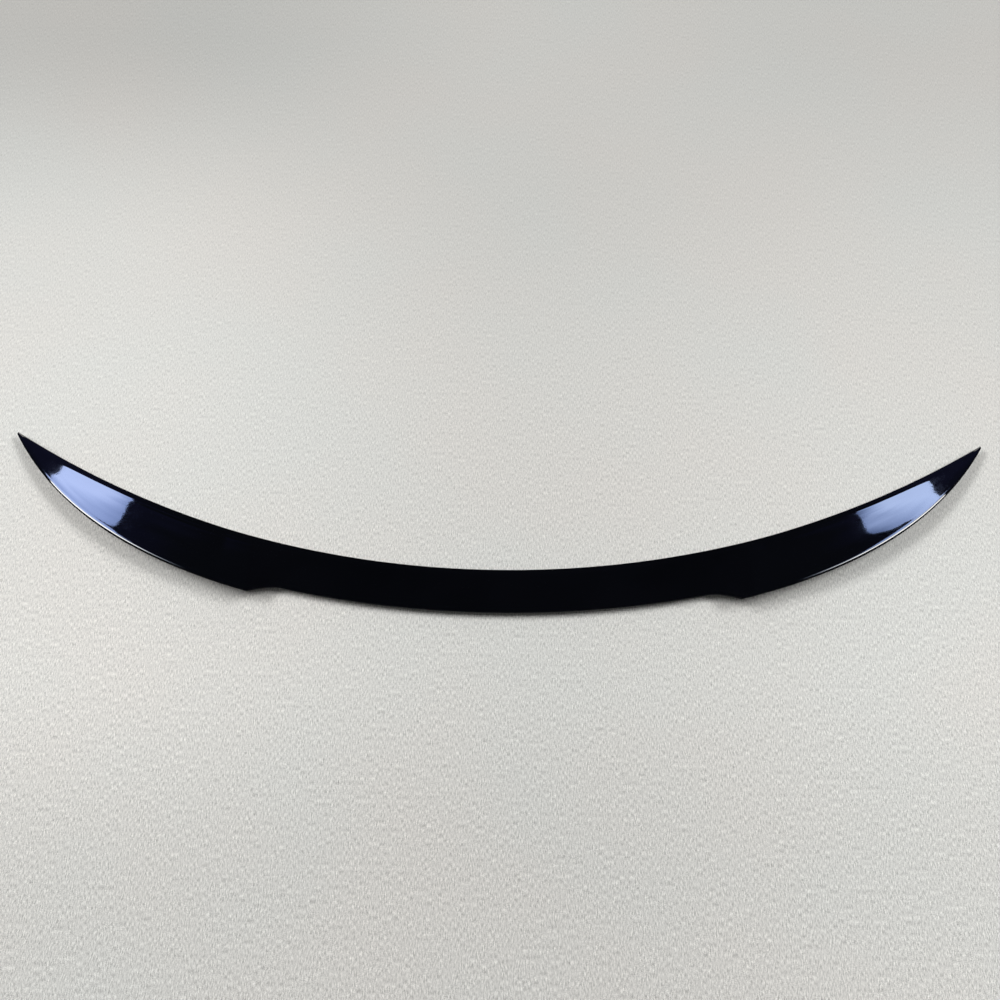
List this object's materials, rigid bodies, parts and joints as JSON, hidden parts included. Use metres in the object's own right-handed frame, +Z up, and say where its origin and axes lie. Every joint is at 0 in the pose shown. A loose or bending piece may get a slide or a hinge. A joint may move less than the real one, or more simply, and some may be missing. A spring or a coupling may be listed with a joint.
{
  "type": "car rear spoiler",
  "caption": "Curved boot lid lip spoiler in gloss black plastic, low in the middle with raised wings that taper to pointed ends, taped underneath with the liner on.",
  "frame": {"origin": "centre of the outline seen from above, at the surface that the part lies on", "axes": "+X to the car's right, +Y to the front of the car, where the tips point, +Z up"},
  "size_m": [1.23, 0.2374, 0.0298],
  "materials": {
    "gloss_black": "high gloss black with a clear coat",
    "foam_tape": "matt closed-cell foam",
    "red_liner": "smooth thin film"
  },
  "bodies": {
    "root": {"spoiler_body": "gloss_black", "tape_front_middle": "foam_tape", "tape_front_left_inner": "foam_tape", "tape_front_right_inner": "foam_tape", "tape_front_left_outer": "foam_tape", "tape_front_right_outer": "foam_tape", "tape_rear_middle": "foam_tape", "tape_rear_left_inner": "foam_tape", "tape_rear_right_inner": "foam_tape", "tape_rear_left_outer": "foam_tape", "tape_rear_right_outer": "foam_tape", "liner_front_middle": "red_liner", "liner_front_left_inner": "red_liner", "liner_front_right_inner": "red_liner", "liner_front_left_outer": "red_liner", "liner_front_right_outer": "red_liner", "liner_rear_middle": "red_liner", "liner_rear_left_inner": "red_liner", "liner_rear_right_inner": "red_liner", "liner_rear_left_outer": "red_liner", "liner_rear_right_outer": "red_liner"}
  },
  "joints": []
}
